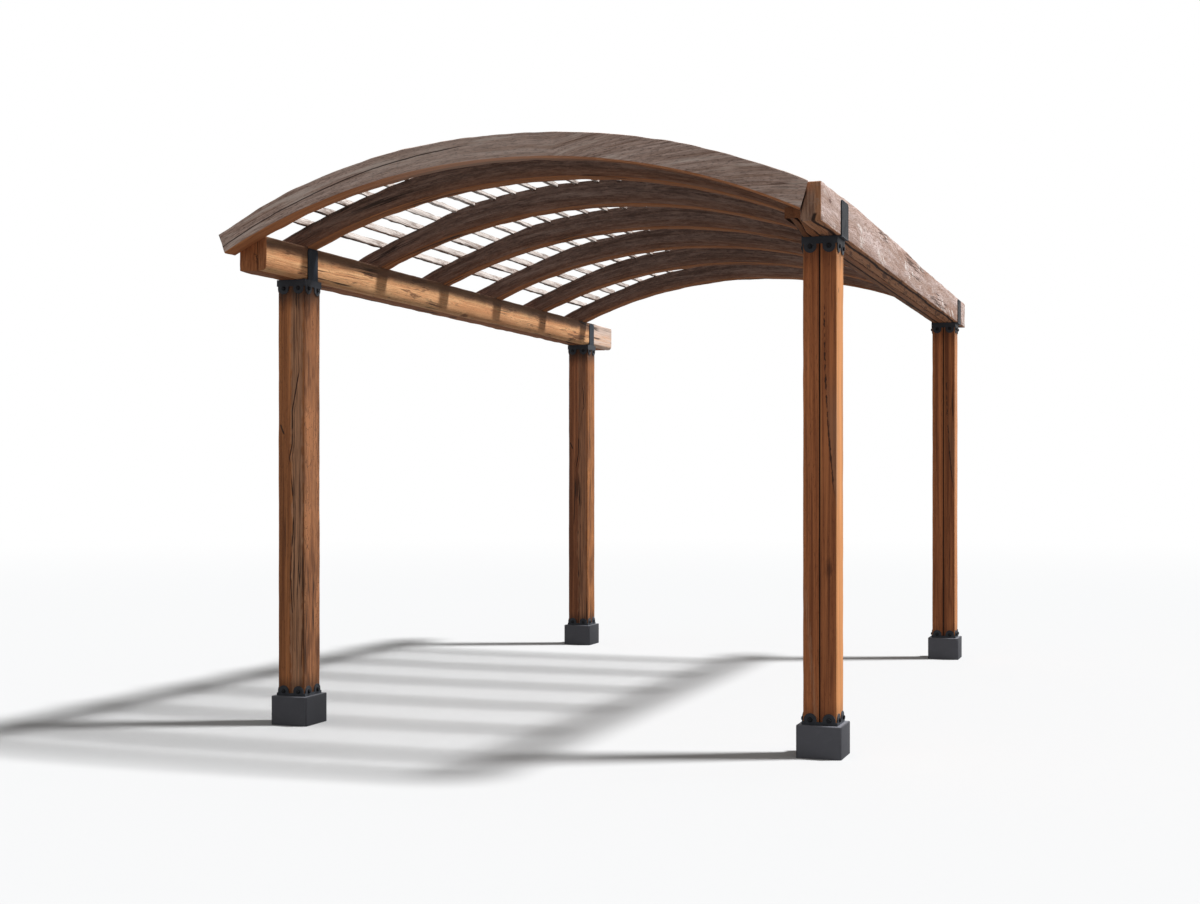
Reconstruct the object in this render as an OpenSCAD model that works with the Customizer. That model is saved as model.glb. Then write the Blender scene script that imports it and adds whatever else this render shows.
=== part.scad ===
// Timber pergola: four posts on steel base boxes carry two side beams, seven
// curved arches spring across from beam to beam, and thin slats run front to
// rear over the arches. The right beam stands higher than the left one: on the
// left the arches are cut to sit over the beam, on the right they rest on two
// low inner boards and butt against the tall outer board.
// Lengths in millimetres, +Z up, front towards -Y, standing on Z = 0.

/* [Posts and bases] */
// side of each square post
post_w = 150; // [130:2:170]
// distance between post centres, left to right
span_x = 2660; // [2300:10:3000]
// distance between post centres, front to rear
span_y = 3980; // [3400:10:4600]
// width of the relief groove down the front and rear faces of a post
kerf_w = 5; // [3:1:10]
// depth of the relief groove
kerf_d = 7; // [3:1:15]
// side of each square base box
base_w = 202; // [190:2:240]
// height of each base box
base_h = 144; // [100:2:200]
// radius of the upright edges of a base box
base_r = 9; // [4:1:16]

/* [Steel brackets] */
// thickness of the bracket plates
plate_t = 5; // [3:0.5:8]
// width of one rounded ear
ear_w = 56; // [40:1:60]
// height of the foot bracket's ears above its floor plate
foot_ear_h = 46; // [40:1:80]
// height of the low wall that joins the foot bracket's ears
foot_wall_h = 9; // [4:1:12]
// drop of the cap bracket's ears below its top plate
cap_ear_h = 66; // [50:1:90]
// drop of the wall that joins the cap bracket's ears
cap_wall_h = 27; // [10:1:35]
// diameter of the hole in an ear
ear_hole_d = 11; // [6:1:16]
// width of the straps that run up the left beam
strap_w = 92; // [60:2:120]
// width of the straps that run up the right beam
right_strap_w = 150; // [80:2:160]
// radius of the strap's two upper corners
strap_r = 16; // [6:1:24]
// what the tall strap stops short of the beam's top
strap_short = 8; // [6:1:20]
// height of the low strap on the hidden face of a beam
low_strap_h = 48; // [40:1:56]

/* [Beams] */
// height of the beams' full section
beam_h = 164; // [150:2:190]
// height of the right beam's underside above the floor
right_beam_z = 2286; // [2100:2:2500]
// how much lower the left beam lies
left_drop = 72; // [50:1:90]
// how far the beams run past the front post centres
front_run = 420; // [300:5:520]
// how far the left beam runs past the rear post centres
rear_run = 445; // [300:5:520]
// thickness of the left beam's inner board
left_inner_w = 50; // [40:1:60]
// radius of the long edges of the left beam's inner board
board_r = 16; // [8:1:20]
// thickness of the right beam's tall outer board
right_outer_w = 88; // [78:1:98]
// how far that board stands out past the posts
right_over = 18; // [6:1:24]
// how far that board's front end is let into the back of the front arch
right_lap = 60; // [30:1:70]
// play between the two, sideways
lap_play = 0.3; // [0.2:0.1:1]
// how far the right beam runs past the rear post centres
right_rear_run = 337; // [260:1:440]
// height of the right beam's two low boards
ledge_h = 74; // [64:1:84]
// thickness of the low board that shows from inside
ledge_board_w = 38; // [30:1:46]
// how far the sweep under both ends of that board runs in
ledge_sweep = 300; // [200:5:330]
// how far the sweep under the other low board runs in
beam_sweep = 230; // [150:5:330]
// how much the sweeps have risen at the ends
sweep_rise = 38; // [20:1:50]

/* [Arches] */
// radius of the arches' underside
arch_r = 3115; // [2900:5:3400]
// depth of the arches' section
arch_h = 102; // [95:1:130]
// depth of the front arch's section
front_arch_h = 117; // [110:1:140]
// thickness of an arch
arch_t = 90; // [70:1:110]
// number of arches behind the front one
arch_count = 6; // [4:1:8]
// bite of the seat cut where an arch meets the left beam's inner edge
seat_bite = 5; // [2:1:10]
// distance of the last arch in front of the rear post centres
last_arch_back = 140; // [100:5:300]
// overhang of the arch tails past the left beam
tail_run = 55; // [30:1:80]
// what the front arch stops short of the right beam's outer face
front_arch_short = 49; // [30:1:60]
// lean of the end cuts from upright
end_cut_deg = 17; // [8:1:24]

/* [Slats] */
// width of one slat
slat_w = 20; // [16:1:30]
// height of a slat above the arches
slat_h = 33; // [26:1:46]
// depth of the housings that hold the slats in the arches
slat_let = 4; // [2:1:8]
// play of a slat at each side of its housing
slat_play = 0.5; // [0.2:0.1:1]
// length of the tapered front end of a slat
taper_run = 130; // [80:5:200]
// how much lower a slat is at its front end
taper_drop = 20; // [10:1:28]
// number of slats on each side of the crown
slat_side_count = 11; // [8:1:13]

/* [Hidden] */
$fn = 96;
// overrun of all cuts
over = 20;
// facets round the large arcs
arc_fn = 360;

x_post = span_x / 2;
y_post = span_y / 2;
x_out = x_post + post_w / 2;
x_in = x_post - post_w / 2;
left_z = right_beam_z - left_drop;
left_top = left_z + beam_h;
right_top = right_beam_z + beam_h;
ledge_top = right_beam_z + ledge_h;
y_front = -(y_post + front_run);
y_rear = y_post + rear_run;
beam_len = y_rear - y_front;
right_len = y_post + right_rear_run - y_front;
left_outer_w = post_w - left_inner_w;
x_face = x_out + right_over;
x_butt = x_face - right_outer_w;
ledge_w = x_butt - x_in;

// the arches' common centre line, so placed that the underside meets the left beam's inner edge
arch_z = left_top - seat_bite - sqrt(arch_r * arch_r - x_in * x_in);
arch_out_r = arch_r + arch_h;
front_out_r = arch_r + front_arch_h;
arch_pitch = (span_y - last_arch_back) / (arch_count - 1);
y_last = -y_post + arch_pitch * (arch_count - 1);

// slats spread evenly between the two beams' inner edges
slat_r = arch_out_r - slat_let;
slat_tall = slat_h + slat_let;
slat_reach = asin(x_in / arch_out_r);
slat_step = slat_reach / slat_side_count;
slat_len = y_last + arch_t / 2 - y_front;
slat_band = ceil(slat_side_count / 3);
taper_deg = atan(taper_drop / taper_run);

// ears: outer width of a bracket, and where the ears' centres lie on a face
bracket_w = post_w + 2 * plate_t;
ear_x = (post_w - ear_w) / 2 - plate_t;
ear_r = ear_w / 2;

// middle of the outer box, which the part is centred on
base_reach = x_post + base_w / 2;
right_reach = max(base_reach, x_face + plate_t);
left_reach = max(base_reach, x_out + tail_run);
mid_x = (right_reach - left_reach) / 2;
mid_y = (y_rear + y_front - arch_t) / 2;

timber = [0.55, 0.38, 0.26];
weathered = [0.45, 0.39, 0.36];
pale = [0.78, 0.68, 0.58];
anthracite = [0.28, 0.28, 0.30];
black = [0.16, 0.17, 0.18];

// puts a piece into the frame that is centred on the outer box
module place() {
  translate([-mid_x, -mid_y, 0]) children();
}

// at one post: side -1 left or 1 right, row -1 front or 1 rear
module at_post(side, row) {
  place() translate([side * x_post, row * y_post, 0]) children();
}

// upright bar with four rounded edges
module round_bar(w, h, r) {
  translate([-w / 2, -w / 2 + r, 0]) cube([w, w - 2 * r, h]);
  translate([-w / 2 + r, -w / 2, 0]) cube([w - 2 * r, w, h]);
  for (x = [-1, 1])
    for (y = [-1, 1])
      translate([x * (w / 2 - r), y * (w / 2 - r), 0]) cylinder(r = r, h = h);
}

// one round-ended ear in the front face of a bracket, standing up from Z = 0
module ear(h) {
  intersection() {
    union() {
      translate([-ear_w / 2, 0, 0]) cube([ear_w, plate_t, h - ear_r]);
      translate([0, plate_t, h - ear_r]) rotate([90, 0, 0]) cylinder(r = ear_r, h = plate_t);
    }
    translate([-ear_w / 2, 0, 0]) cube([ear_w, plate_t, h]);
  }
}

module ear_hole(h) {
  translate([0, plate_t + over, h - ear_r]) rotate([90, 0, 0])
    cylinder(d = ear_hole_d, h = plate_t + 2 * over);
}

// eight ears round the post, two on each face
module each_ear() {
  for (turn = [0 : 90 : 270])
    rotate([0, 0, turn])
      for (side = [-1, 1])
        translate([side * ear_x, -bracket_w / 2, 0]) children();
}

// floor plate with a scalloped wall that stands up round the post
module scalloped_shoe(wall_h, ear_h) {
  difference() {
    union() {
      translate([-bracket_w / 2, -bracket_w / 2, 0]) cube([bracket_w, bracket_w, plate_t + wall_h]);
      translate([0, 0, plate_t]) each_ear() ear(ear_h);
    }
    translate([-post_w / 2, -post_w / 2, plate_t]) cube([post_w, post_w, ear_h + over]);
    translate([0, 0, plate_t]) each_ear() ear_hole(ear_h);
  }
}

// strap of width w on the +X side of a bracket, standing up from Z = 0 on a tongue that reaches past the post
module strap(w, h, reach) {
  translate([post_w / 2, -w / 2, 0]) cube([reach + plate_t, w, plate_t]);
  translate([post_w / 2 + reach, -w / 2, 0]) {
    cube([plate_t, w, h - strap_r]);
    translate([0, strap_r, 0]) cube([plate_t, w - 2 * strap_r, h]);
    for (y = [strap_r, w - strap_r])
      translate([0, y, h - strap_r]) rotate([0, 90, 0]) cylinder(r = strap_r, h = plate_t);
  }
}

module base_box(side, row) {
  color(anthracite) at_post(side, row) round_bar(base_w, base_h, base_r);
}

module foot_bracket(side, row) {
  color(black) at_post(side, row) translate([0, 0, base_h]) scalloped_shoe(foot_wall_h, foot_ear_h);
}

// underside of the beam over a post, and the strap that holds it
function seat_z(side) = side < 0 ? left_z : right_beam_z;
function strap_width(side) = side < 0 ? strap_w : right_strap_w;
function strap_reach(side) = side < 0 ? 0 : right_over;

module post(side, row) {
  post_h = seat_z(side) - base_h - 2 * plate_t;
  color(timber) at_post(side, row) translate([0, 0, base_h + plate_t])
    difference() {
      translate([-post_w / 2, -post_w / 2, 0]) cube([post_w, post_w, post_h]);
      for (y = [-1, 1])
        translate([-kerf_w / 2, y * post_w / 2 - kerf_d, -over]) cube([kerf_w, 2 * kerf_d, post_h + 2 * over]);
    }
}

// the tall strap is on the side that shows: +X on both beams
module cap_bracket(side, row) {
  color(black) at_post(side, row) translate([0, 0, seat_z(side)]) {
    mirror([0, 0, 1]) scalloped_shoe(cap_wall_h, cap_ear_h);
    translate([0, 0, -plate_t]) {
      strap(strap_width(side), plate_t + beam_h - strap_short, strap_reach(side));
      mirror([1, 0, 0]) strap(strap_width(side), plate_t + low_strap_h, 0);
    }
  }
}

module left_outer_beam() {
  color(timber) place() translate([-x_out, y_front, left_z]) cube([left_outer_w, beam_len, beam_h]);
}

// inner board of the left beam, with rounded long edges
module left_inner_beam() {
  w = left_inner_w;
  color(timber) place() translate([-x_in - w, y_front, left_z]) {
    translate([0, 0, board_r]) cube([w, beam_len, beam_h - 2 * board_r]);
    translate([board_r, 0, 0]) cube([w - 2 * board_r, beam_len, beam_h]);
    for (x = [board_r, w - board_r])
      for (z = [board_r, beam_h - board_r])
        translate([x, 0, z]) rotate([-90, 0, 0]) cylinder(r = board_r, h = beam_len);
  }
}

// tall board of the right beam, its front end let into the front arch
module right_outer_beam() {
  color(weathered) place() translate([x_butt, y_front - right_lap, right_beam_z])
    cube([right_outer_w, right_len + right_lap, beam_h]);
}

// low board of the right beam, its underside sweeping up to both ends
module low_board(x, w, sweep) {
  sweep_r = (sweep * sweep + sweep_rise * sweep_rise) / (2 * sweep_rise);
  color(timber) place() translate([x, y_front, right_beam_z])
    difference() {
      cube([w, right_len, ledge_h]);
      for (y = [0, right_len])
        translate([-over, y, sweep_rise - sweep_r]) rotate([0, 90, 0])
          cylinder(r = sweep_r, h = w + 2 * over, $fn = arc_fn);
    }
}

module right_inner_beam() { low_board(x_in + ledge_board_w, ledge_w - ledge_board_w, beam_sweep); }
module right_ledge_board() { low_board(x_in, ledge_board_w, ledge_sweep); }

// curved bar across the pergola: full ring of one arch, centred on Y = 0
module arch_ring(out_r) {
  translate([0, arch_t / 2, arch_z]) rotate([90, 0, 0])
    difference() {
      cylinder(r = out_r, h = arch_t, $fn = arc_fn);
      translate([0, 0, -over]) cylinder(r = arch_r, h = arch_t + 2 * over, $fn = arc_fn);
    }
}

// all that lies past a leaning end cut through the upper corner at x_end
module past_end(side, x_end, out_r) {
  z_end = arch_z + sqrt(out_r * out_r - x_end * x_end);
  translate([side * x_end, 0, z_end]) rotate([0, side * end_cut_deg, 0])
    translate([side > 0 ? 0 : -out_r, -arch_t, -2 * out_r]) cube([out_r, 2 * arch_t, 3 * out_r]);
}

// half space that holds the crown of an arch
module above_springing(out_r) {
  z_low = left_z - beam_h;
  translate([-out_r, -arch_t, z_low]) cube([2 * out_r, 2 * arch_t, arch_z + out_r - z_low + over]);
}

module front_arch() {
  intersection() {
    difference() {
      arch_ring(front_out_r);
      past_end(-1, x_out + tail_run, front_out_r);
      past_end(1, x_face - front_arch_short, front_out_r);
      translate([x_butt - lap_play, arch_t / 2 - right_lap, right_beam_z - beam_h])
        cube([arch_t, arch_t, 3 * beam_h]);
    }
    above_springing(front_out_r);
  }
}

// place of one slat, turned about the arches' centre line
module at_slat(turn) {
  translate([0, y_front, arch_z]) rotate([0, turn, 0]) translate([0, 0, slat_r]) children();
}

// slat whose front end tapers to stay below the front arch's top
module slat(turn) {
  at_slat(turn)
    difference() {
      translate([-slat_w / 2, 0, 0]) cube([slat_w, slat_len, slat_tall]);
      translate([-slat_w, 0, slat_tall - taper_drop]) rotate([taper_deg, 0, 0])
        translate([0, -taper_run, 0]) cube([2 * slat_w, 3 * taper_run, 3 * taper_drop]);
    }
}

module slat_housings() {
  room = slat_w + 2 * slat_play;
  for (i = [-slat_side_count : slat_side_count])
    at_slat(i * slat_step) translate([-room / 2, 0, 0]) cube([room, slat_len, slat_tall]);
}

// arch behind the front one: seated over the left beam, on the ledge and against the outer board
module seated_arch(y) {
  difference() {
    intersection() {
      translate([0, y, 0]) arch_ring(arch_out_r);
      translate([0, y, 0]) above_springing(arch_out_r);
    }
    translate([0, y, 0]) past_end(-1, x_out + tail_run, arch_out_r);
    translate([-x_out, y - arch_t, left_z - beam_h]) cube([post_w, 2 * arch_t, 2 * beam_h]);
    translate([x_butt, y - arch_t, left_z - 2 * beam_h]) cube([arch_r, 2 * arch_t, 6 * beam_h]);
    translate([x_in, y - arch_t, right_beam_z - beam_h]) cube([post_w, 2 * arch_t, beam_h + ledge_h]);
    slat_housings();
  }
}

function arch_y(n) = -y_post + (n - 2) * arch_pitch;

module arch(n) {
  color(weathered) place() seated_arch(arch_y(n));
}

// slats number first to last, counted outwards from the crown
module slat_group(side, first, last) {
  color(pale) place()
    for (i = [first : last])
      if (i <= slat_side_count) slat(side * i * slat_step);
}

module base_front_left() { base_box(-1, -1); }
module base_front_right() { base_box(1, -1); }
module base_rear_left() { base_box(-1, 1); }
module base_rear_right() { base_box(1, 1); }
module foot_bracket_front_left() { foot_bracket(-1, -1); }
module foot_bracket_front_right() { foot_bracket(1, -1); }
module foot_bracket_rear_left() { foot_bracket(-1, 1); }
module foot_bracket_rear_right() { foot_bracket(1, 1); }
module post_front_left() { post(-1, -1); }
module post_front_right() { post(1, -1); }
module post_rear_left() { post(-1, 1); }
module post_rear_right() { post(1, 1); }
module cap_bracket_front_left() { cap_bracket(-1, -1); }
module cap_bracket_front_right() { cap_bracket(1, -1); }
module cap_bracket_rear_left() { cap_bracket(-1, 1); }
module cap_bracket_rear_right() { cap_bracket(1, 1); }
module arch_1_front() {
  color(weathered) place() translate([0, y_front - arch_t / 2, 0]) front_arch();
}
module arch_2() { arch(2); }
module arch_3() { arch(3); }
module arch_4() { arch(4); }
module arch_5() { arch(5); }
module arch_6() { arch(6); }
module arch_7_rear() { arch(7); }
module slat_crown() { slat_group(1, 0, 0); }
module slats_left_high() { slat_group(-1, 1, slat_band); }
module slats_left_middle() { slat_group(-1, slat_band + 1, 2 * slat_band); }
module slats_left_low() { slat_group(-1, 2 * slat_band + 1, slat_side_count); }
module slats_right_high() { slat_group(1, 1, slat_band); }
module slats_right_middle() { slat_group(1, slat_band + 1, 2 * slat_band); }
module slats_right_low() { slat_group(1, 2 * slat_band + 1, slat_side_count); }

base_front_left();
base_front_right();
base_rear_left();
base_rear_right();
foot_bracket_front_left();
foot_bracket_front_right();
foot_bracket_rear_left();
foot_bracket_rear_right();
post_front_left();
post_front_right();
post_rear_left();
post_rear_right();
cap_bracket_front_left();
cap_bracket_front_right();
cap_bracket_rear_left();
cap_bracket_rear_right();
left_outer_beam();
left_inner_beam();
right_outer_beam();
right_inner_beam();
right_ledge_board();
arch_1_front();
arch_2();
arch_3();
arch_4();
arch_5();
arch_6();
arch_7_rear();
slats_left_low();
slats_left_middle();
slats_left_high();
slat_crown();
slats_right_high();
slats_right_middle();
slats_right_low();
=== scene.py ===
# Wooden pergola: its visible pieces, their finishes and a plain studio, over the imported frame. Metres.
import math

import bpy
from mathutils import Matrix, Vector


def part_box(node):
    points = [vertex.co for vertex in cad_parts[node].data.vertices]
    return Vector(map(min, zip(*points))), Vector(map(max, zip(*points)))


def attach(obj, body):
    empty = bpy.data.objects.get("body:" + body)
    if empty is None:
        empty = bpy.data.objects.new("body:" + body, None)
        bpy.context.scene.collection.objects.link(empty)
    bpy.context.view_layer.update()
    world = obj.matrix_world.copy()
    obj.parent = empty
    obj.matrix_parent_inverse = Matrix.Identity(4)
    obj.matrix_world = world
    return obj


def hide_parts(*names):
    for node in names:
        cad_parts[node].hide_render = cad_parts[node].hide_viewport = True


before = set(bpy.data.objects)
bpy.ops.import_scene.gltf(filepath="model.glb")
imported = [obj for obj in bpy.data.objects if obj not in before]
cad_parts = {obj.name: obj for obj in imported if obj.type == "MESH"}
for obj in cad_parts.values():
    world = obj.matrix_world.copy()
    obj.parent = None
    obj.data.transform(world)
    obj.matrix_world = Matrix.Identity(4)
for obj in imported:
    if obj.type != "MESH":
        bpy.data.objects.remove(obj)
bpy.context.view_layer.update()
scene = bpy.context.scene
scene.view_settings.view_transform = "Standard"

CORNERS = ("front_left", "front_right", "rear_left", "rear_right")
ARCHES = ("arch_1_front", "arch_2", "arch_3", "arch_4", "arch_5", "arch_6", "arch_7_rear")

# how near a point lies to count as on a line or face; angles of worn edges and of smooth shading
NEAR, TIGHT = 1e-4, 1e-5
ARRIS_ANGLE, SMOOTH_ANGLE = math.radians(20), math.radians(32)

# the arches' common centre line, radii, half turn and end cuts
AXIS_X, AXIS_Z = 0.0145, -0.478
ARCH_IN, ARCH_OUT, FRONT_OUT = 3.115, 3.217, 3.232
ARCH_TURN, ARCH_STEPS = math.radians(30), 150
END_LEAN, END_MITRE = math.radians(17), math.radians(15)
LEFT_OVERHANG, RIGHT_SETBACK = 0.055, 0.049

# notches reach from under the beams to above the roof, and run past the timber they cut
NOTCH_LOW, NOTCH_HIGH, OVERRUN = 1.9, 2.8, 0.1

# slats: radii, width, spacing and the taper behind the front arch
SLAT_IN, SLAT_OUT, SLAT_W = 3.213, 3.250, 0.020
SLATS_A_SIDE, OUTER_SLAT_X = 11, 1.255
SLAT_STEP = math.asin(OUTER_SLAT_X / ARCH_OUT) / SLATS_A_SIDE
TAPER_RUN, TAPER_DROP = 0.130, 0.020
# their width below as a share, turn askew, roughness, share of the arches' swell and first seed
LATH_FOOT, LATH_ASKEW, LATH_ROUGH, LATH_LIFT, LATH_SEED = 0.55, 0.0022, 0.0030, 0.9, 40

LEFT_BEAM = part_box("left_outer_beam")[0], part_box("left_inner_beam")[1]
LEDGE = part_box("right_ledge_board")
BUTT_X, BOARD_FRONT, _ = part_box("right_outer_beam")[0]
RIGHT_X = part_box("right_outer_beam")[1].x

# top edges fitted to the photo: where the change starts and ends, the fade beyond, and the rise
TOP_EDGE = 0.007
SWELL_FROM, SWELL_TO, SWELL_FADE, ARCH_SWELL = -0.6, 0.8, 0.55, 0.025
OTHER_SWELL = {"arch_2": 0.015, "arch_3": 0.029, "arch_7_rear": 0.019}
FRONT_SINK = (-2.0, 0.35, 0.6, -0.006)
TIP_SINK = (-2.0, LEFT_BEAM[0].x - 0.03, 0.45, -0.019)
BOARD_HUMP = (-1.7, -0.3, 0.75, 0.013)

# posts: eased edges, grooves of the newer ones and cracks of the old ones
POST_EASE, POST_CUTS, GROOVE_STOP = 0.006, 72, 0.004
GROOVE_HALF, GROOVE_DEPTH = 0.0025, 0.007
CRACK_HALF, CRACK_DEPTH = 0.0013, 0.003

# rounding of bases, boards and laths
BASE_CORNER, BASE_RIM, BASE_FOOT = 0.009, 0.004, 0.0015
BOARD_END, LOW_BOARD_EDGE, ARCH_EDGE, LATH_EDGE = 0.003, 0.008, 0.005, 0.002

# bolts: washer, head and their places on a bracket
WASHER_R, WASHER_T, HEAD_R, HEAD_T = 0.0115, 0.0022, 0.0092, 0.0064
BOLT_OUT, BRACKET_HALF = 0.042, 0.080
FOOT_BOLT_Z, CAP_PLATE, CAP_BOLT_DROP = 0.167, 0.005, 0.043


def middle_of(node):
    low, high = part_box(node)
    return (low + high) / 2


# ------------ shader sums


class Wire:
    """A value in a node tree. Sums on it add Math nodes."""

    def __init__(self, finish, socket):
        self.finish, self.socket = finish, socket

    def sum(self, operation, *values):
        return self.finish.node("Math", {"operation": operation}, dict(enumerate(values)))

    def __add__(self, other):
        return self.sum("ADD", self, other)

    def __radd__(self, other):
        return self.sum("ADD", other, self)

    def __sub__(self, other):
        return self.sum("SUBTRACT", self, other)

    def __rsub__(self, other):
        return self.sum("SUBTRACT", other, self)

    def __mul__(self, other):
        return self.sum("MULTIPLY", self, other)

    def __truediv__(self, other):
        return self.sum("DIVIDE", self, other)

    def __abs__(self):
        return self.sum("ABSOLUTE", self)

    def root(self):
        return self.sum("SQRT", self)

    def larger(self, other):
        return self.sum("MAXIMUM", self, other)

    def smaller(self, other):
        return self.sum("MINIMUM", self, other)

    def rise(self, low, high):
        """0 below low, 1 above high, smooth between; a fall where low is the higher one."""
        return self.finish.node(
            "MapRange",
            {"interpolation_type": "SMOOTHSTEP"},
            {"Value": self, "From Min": low, "From Max": high},
        )


class Finish:
    """A node tree being wired. node() adds any node and gives back the outputs asked for."""

    def __init__(self, tree):
        self.tree = tree
        tree.nodes.clear()

    def node(self, kind, settings=None, sockets=None, out=0):
        made = self.tree.nodes.new("ShaderNode" + kind)
        for key, value in (settings or {}).items():
            setattr(made, key, value)
        for key, value in (sockets or {}).items():
            if isinstance(value, Wire):
                self.tree.links.new(value.socket, made.inputs[key])
            else:
                made.inputs[key].default_value = value
        if isinstance(out, tuple):
            return [Wire(self, made.outputs[o]) for o in out]
        return Wire(self, made.outputs[out]) if len(made.outputs) else made

    def place(self):
        point = self.node("TexCoord", out="Object")
        return self.node("SeparateXYZ", sockets={0: point}, out=("X", "Y", "Z"))

    def vector(self, x, y, z):
        return self.node("CombineXYZ", sockets={0: x, 1: y, 2: z})

    def noise(self, vector, detail=2.0, roughness=0.5):
        sockets = {"Vector": vector, "Scale": 1.0, "Detail": detail, "Roughness": roughness}
        return self.node("TexNoise", sockets=sockets)

    def mix(self, factor, below, above):
        """Mix of two colours; sockets 6 and 7 and output 2 are the node's colour ones."""
        return self.node("Mix", {"data_type": "RGBA"}, {0: factor, 6: below, 7: above}, out=2)


def srgb(red, green, blue):
    """A colour given as 0 to 255 on screen, as the linear colour that shaders take."""
    channels = [c / 255 for c in (red, green, blue)]
    return (*[c / 12.92 if c <= 0.04045 else ((c + 0.055) / 1.055) ** 2.4 for c in channels], 1.0)


def shaded(colour, *shares):
    """A screen colour made darker or lighter by one share, or by one for each channel."""
    shares = shares * 3 if len(shares) == 1 else shares
    return srgb(*[min(255, c * share) for c, share in zip(colour, shares)])


def new_material(name):
    made = bpy.data.materials.new(name)
    made.use_nodes = True
    return made, Finish(made.node_tree)


def surface(f, colour, roughness, height, specular, relief=0.002, strength=0.6):
    """The closing shader of a finish."""
    bump = f.node("Bump", sockets={"Strength": strength, "Distance": relief, "Height": height})
    sockets = {"Base Color": colour, "Roughness": roughness, "Specular IOR Level": specular, "Normal": bump}
    f.node("OutputMaterial", sockets={"Surface": f.node("BsdfPrincipled", sockets=sockets)})


# ------------ timber finishes


def grain_up(f, centre):
    """Grain of an upright post: along Z, measured across from the post's middle."""
    x, y, z = f.place()
    return z, x - centre.x, y - centre.y


def grain_back(f, centre):
    """Grain of a beam that runs front to rear."""
    x, y, z = f.place()
    return y, x - centre.x, z - centre.z


def grain_round(f, middle_y, middle_r):
    """Grain that follows the curve of an arch: length round the curve, depth and thickness."""
    x, y, z = f.place()
    dx, dz = x - AXIS_X, z - AXIS_Z
    turn = dx.sum("ARCTAN2", dx, dz)
    return turn * middle_r, (dx * dx + dz * dz).root() - middle_r, y - middle_y


PALE_SHARES, DARK_SHARES, DEEP_SHARES = (1.09, 1.12, 1.16), (0.83, 0.78, 0.74), (0.40, 0.34, 0.32)


def tones(*middle):
    """Pale, dark and deep tone of a timber from its middle colour."""
    return [shaded(middle, *shares) for shares in (PALE_SHARES, DARK_SHARES, DEEP_SHARES)]


def wood(f, u, v, w, tone, heart=(0.03, 0.05), ring=0.006, knots=1.0, wander=0.035, specks=0.4, lines=0.3):
    """Growth rings round a heart line, streaks, fine lines, pores and knots."""
    pale, dark, deep = tone
    slow = f.noise(f.vector(u * 0.8, v * 4.0, w * 4.0), 3.0)
    bend = (slow - 0.5) * wander
    cells = f.vector(u * 2.2, v * 5.5, w * 5.5)
    spread, pick = f.node(
        "TexVoronoi",
        {"feature": "F1"},
        {"Vector": cells, "Scale": 1.0, "Randomness": 0.9},
        out=("Distance", "Color"),
    )
    chance = f.node("SeparateColor", sockets={0: pick}).rise(0.45, 0.55) * knots
    knot = spread.rise(0.13, 0.07) * chance
    eye = spread.rise(0.42, 0.05) * chance
    a = v - heart[0] + bend + eye * 0.012
    b = w - heart[1] + bend * 0.7
    depth = (a * a + b * b).root() + eye * 0.014
    rings = f.node(
        "TexNoise",
        {"noise_dimensions": "1D"},
        {"W": depth / ring, "Scale": 1.0, "Detail": 2.5, "Roughness": 0.6},
    ).rise(0.34, 0.66)
    streak = f.noise(f.vector(u * 1.2, v * 50.0 + bend * 50.0, w * 50.0), 4.0, 0.62).rise(0.32, 0.68)
    line = f.noise(f.vector(u * 4.0, v * 230.0 + bend * 200.0, w * 230.0), 3.0, 0.65).rise(0.28, 0.72)
    pore = f.noise(f.vector(u * 34.0, v * 190.0, w * 190.0), 2.0, 0.6).rise(0.55, 0.72)
    shade = rings * 0.3 + streak * 0.34 + slow * 0.5 + line * 0.3 - 0.24
    colour = f.mix(shade, dark, pale)
    colour = f.mix(line.rise(0.5, 0.0) * lines, colour, deep)
    colour = f.mix(pore * specks, colour, deep)
    colour = f.mix(knot * 0.85, colour, deep)
    height = rings * 0.3 + streak * 0.3 + line * 0.6 - pore * 0.5 - knot * 0.5
    return colour, height, {"slow": slow, "streak": streak, "line": line}


def checks(f, u, v, w, seed, width=0.045, share=0.5):
    """Drying cracks along the grain, as a mask."""
    line = f.noise(f.vector(u * 0.6 + seed, v * 17.0, w * 17.0), 3.0, 0.65)
    where = f.noise(f.vector(u * 1.4 - seed, v * 7.0, w * 7.0), 1.0).rise(share, share + 0.1)
    return abs(line - 0.5).rise(width, width * 0.25) * where


# crack down the middle of an old post: height and distance from the middle, from the top down
CRACK = (
    (2.20, 0.028), (1.95, 0.032), (1.76, 0.046), (1.56, 0.006), (1.40, 0.003), (1.33, -0.010),
    (1.24, 0.001), (1.05, 0.014), (0.75, -0.004), (0.45, 0.010), (0.14, 0.002),
)

# where a side or face starts and is full, from the middle of a post or base
POST_SIDE, POST_FACE, BASE_SHADED_SIDE = (0.069, 0.0742), (0.05, 0.07), (0.092, 0.0995)

# marks on the posts: distances from a post's middle and heights
STROKE_Z = 1.38
CHIP_X, CHIP_Z = -0.052, 1.47
SPLIT_TOP = 2.06
KNOT_X, KNOT_Z = 0.041, 0.83
WORN_X, WORN_Z = -0.063, 0.745
SPOT_Y, SPOT_Z = -0.03, 2.05


def crack_at(height):
    """Where the crack stands at a height, by straight lines between the listed places."""
    for (top, a), (foot, b) in zip(CRACK, CRACK[1:]):
        if height >= foot:
            return b + (a - b) * min(1.0, (height - foot) / (top - foot))
    return CRACK[-1][1]


def crack_path(f, height):
    """The same line as a shader value."""
    path = height * 0.0 + CRACK[-1][1]
    for (top, a), (foot, b) in zip(CRACK, CRACK[1:]):
        path = path + f.node(
            "MapRange",
            {},
            {"Value": height, "From Min": foot, "From Max": top, "To Min": 0.0, "To Max": a - b},
        )
    return path


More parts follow.
